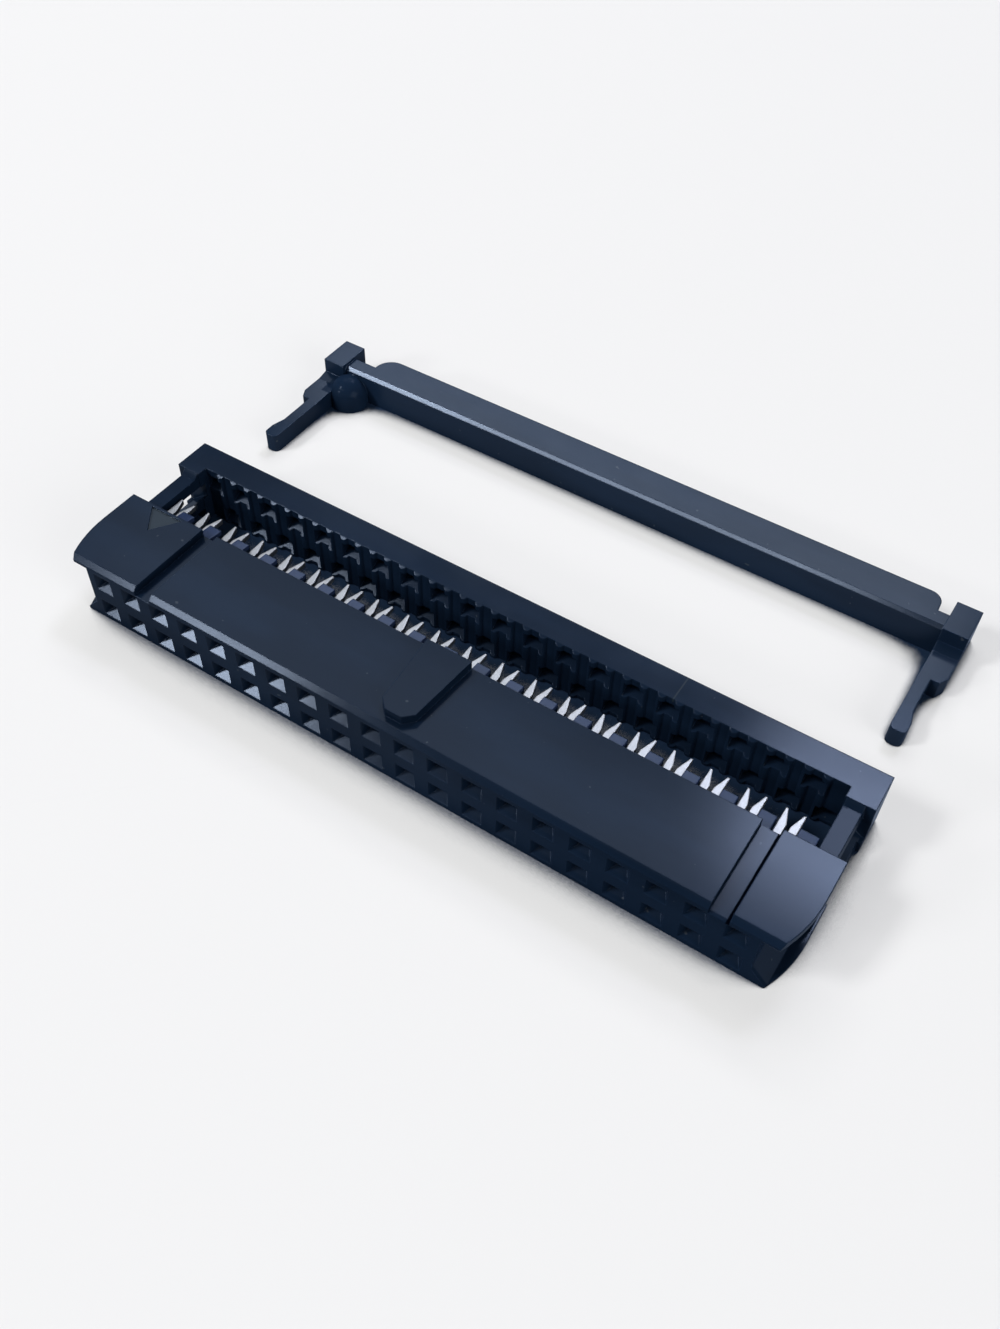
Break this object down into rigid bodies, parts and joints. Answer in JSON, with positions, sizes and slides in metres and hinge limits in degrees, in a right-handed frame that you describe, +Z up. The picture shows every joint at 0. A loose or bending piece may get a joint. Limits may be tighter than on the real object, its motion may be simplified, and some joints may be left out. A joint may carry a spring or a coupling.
{
  "type": "ribbon cable idc socket connector",
  "caption": "Two-row pin socket for flat ribbon cable: keyed housing with forked contacts, a press-on ribbed cover that is still open, and a loose strain relief clip.",
  "frame": {"origin": "middle of the housing's underside, on the surface that the set lies on", "axes": "+X along the contact rows towards the last contact, +Y from the mating face towards the cable and the loose strain relief, +Z up out of the surface, on the side of the polarising key"},
  "size_m": [0.0557, 0.0328, 0.0058],
  "materials": {
    "housing_plastic": "satin moulded black with a blue cast",
    "cover_plastic": "satin moulded black with a blue cast",
    "relief_plastic": "satin moulded black with a blue cast",
    "contact_metal": "bright tin plate over stamped bronze strip"
  },
  "bodies": {
    "socket": {"housing": "housing_plastic", "contact_01": "contact_metal", "contact_02": "contact_metal", "contact_03": "contact_metal", "contact_04": "contact_metal", "contact_05": "contact_metal", "contact_06": "contact_metal", "contact_07": "contact_metal", "contact_08": "contact_metal", "contact_09": "contact_metal", "contact_10": "contact_metal", "contact_11": "contact_metal", "contact_12": "contact_metal", "contact_13": "contact_metal", "contact_14": "contact_metal", "contact_15": "contact_metal", "contact_16": "contact_metal", "contact_17": "contact_metal", "contact_18": "contact_metal", "contact_19": "contact_metal", "contact_20": "contact_metal", "contact_21": "contact_metal", "contact_22": "contact_metal", "contact_23": "contact_metal", "contact_24": "contact_metal", "contact_25": "contact_metal", "contact_26": "contact_metal", "contact_27": "contact_metal", "contact_28": "contact_metal", "contact_29": "contact_metal", "contact_30": "contact_metal", "contact_31": "contact_metal", "contact_32": "contact_metal", "contact_33": "contact_metal", "contact_34": "contact_metal", "contact_35": "contact_metal", "contact_36": "contact_metal", "contact_37": "contact_metal", "contact_38": "contact_metal", "contact_39": "contact_metal", "contact_40": "contact_metal", "strain_relief": "relief_plastic"},
    "press_cover": {"cover": "cover_plastic"}
  },
  "joints": [
    {"name": "cover_press", "type": "slide", "parent": "socket", "child": "press_cover", "axis": [0, -1, 0], "range_m": [0, 0.00335]}
  ]
}
